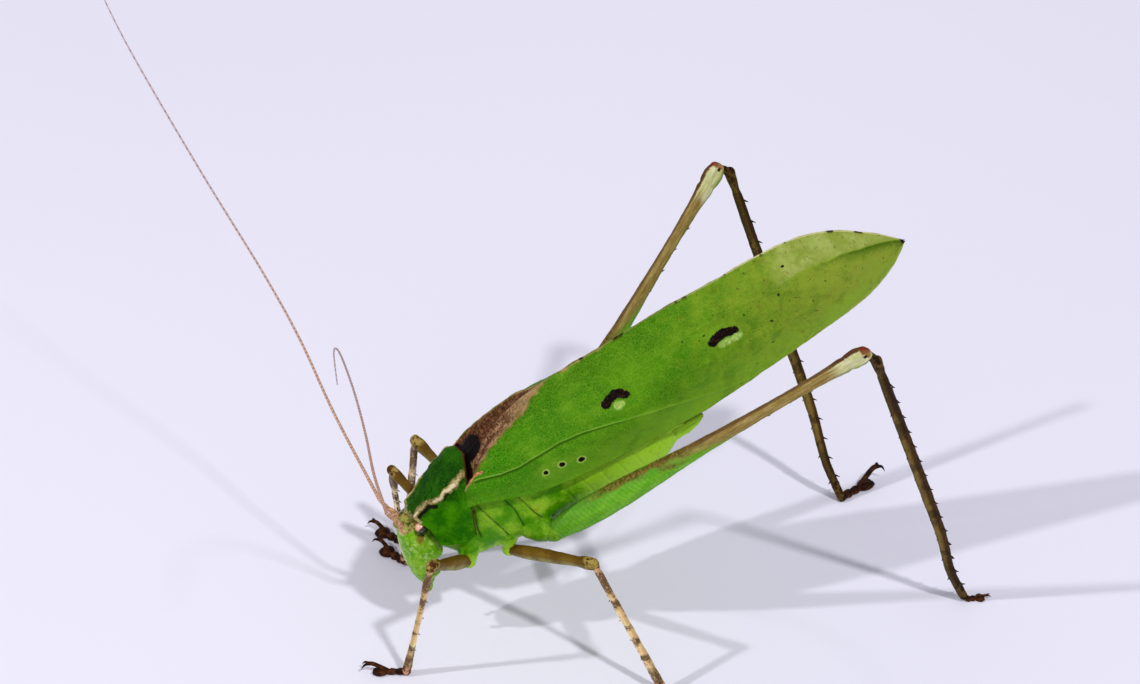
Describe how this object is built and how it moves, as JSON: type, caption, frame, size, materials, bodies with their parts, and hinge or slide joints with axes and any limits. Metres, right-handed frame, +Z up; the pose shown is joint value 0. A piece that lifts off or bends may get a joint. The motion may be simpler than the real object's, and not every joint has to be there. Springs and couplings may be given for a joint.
{
  "type": "long horned grasshopper",
  "caption": "Life-size still model of a green leaf-mimicking katydid, a long horned grasshopper, standing head low on long legs, with folded leaf-like wings and very long antennae.",
  "frame": {"origin": "middle of the underside of the whole animal's box, on the floor it stands on", "axes": "+Z up, -Y the way the head faces, +X the animal's left side"},
  "size_m": [0.0634, 0.094, 0.0726],
  "materials": {
    "skin": "satin, bright yellow-green",
    "eye": "glossy, pinkish brown",
    "horn": "satin, tan",
    "pronotum": "satin, dark green with cream keels",
    "leaf": "satin, leaf green with veins, a brown base and dark spots",
    "membrane": "thin folded wing membrane",
    "leg": "satin, olive brown mottled darker",
    "thigh": "satin, green fading to tan at the knee",
    "foot": "satin, dark brown"
  },
  "bodies": {
    "root": {"head": "skin", "mouthparts": "skin", "palp_left": "skin", "palp_right": "skin", "eye_left": "eye", "eye_right": "eye", "scape_left": "horn", "scape_right": "horn", "flagellum_left_1": "horn", "flagellum_left_2": "horn", "flagellum_left_3": "horn", "flagellum_right_1": "horn", "flagellum_right_2": "horn", "flagellum_right_3": "horn", "pronotum": "pronotum", "thorax": "skin", "abdomen": "skin", "ovipositor": "skin", "cercus_left": "skin", "cercus_right": "skin", "tegmen_left": "leaf", "tegmen_right": "leaf", "hind_wing_left": "membrane", "hind_wing_right": "membrane", "coxa_fore_left": "skin", "coxa_fore_right": "skin", "coxa_mid_left": "skin", "coxa_mid_right": "skin", "coxa_hind_left": "skin", "coxa_hind_right": "skin", "femur_fore_left": "leg", "femur_fore_right": "leg", "femur_mid_left": "leg", "femur_mid_right": "leg", "femur_hind_left": "thigh", "femur_hind_right": "thigh", "tibia_fore_left": "leg", "tibia_fore_right": "leg", "tibia_mid_left": "leg", "tibia_mid_right": "leg", "tibia_hind_left": "leg", "tibia_hind_right": "leg", "tarsus_fore_left": "foot", "tarsus_fore_right": "foot", "tarsus_mid_left": "foot", "tarsus_mid_right": "foot", "tarsus_hind_left": "foot", "tarsus_hind_right": "foot"}
  },
  "joints": []
}
